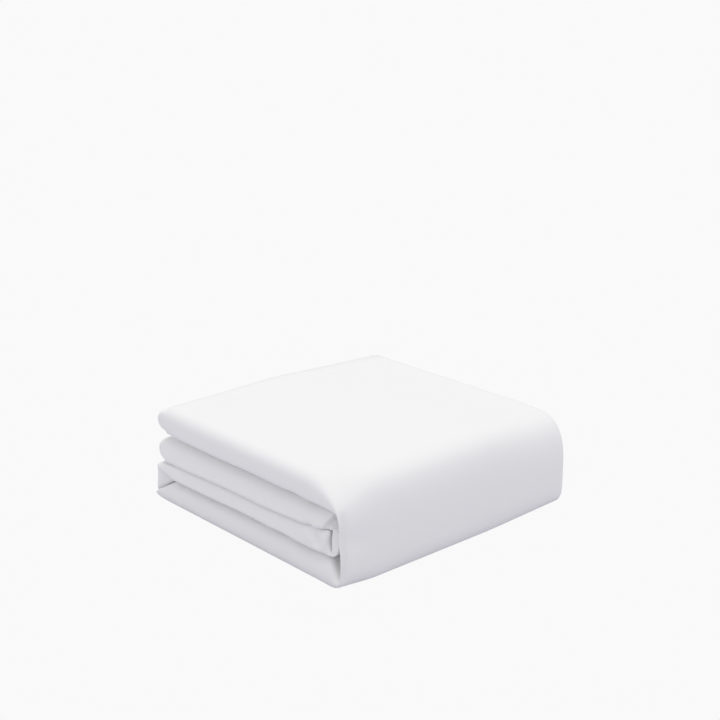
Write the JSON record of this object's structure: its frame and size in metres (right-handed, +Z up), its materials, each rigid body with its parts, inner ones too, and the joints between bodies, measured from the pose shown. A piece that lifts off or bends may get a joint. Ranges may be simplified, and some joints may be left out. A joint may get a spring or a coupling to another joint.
{
  "type": "folded mattress protector",
  "caption": "White cloth mattress protector folded into a flat square pile, with round folded edges on one side and a smooth spine on the next.",
  "frame": {"origin": "centre of the folded pile's footprint, on the surface that it lies on", "axes": "+Z up out of the surface, -Y out of the side with the round folded edges, +X out of the smooth outer spine"},
  "size_m": [0.2864, 0.2872, 0.1],
  "materials": {
    "cloth": "matt white woven cloth"
  },
  "bodies": {
    "root": {"protector": "cloth"}
  },
  "joints": []
}
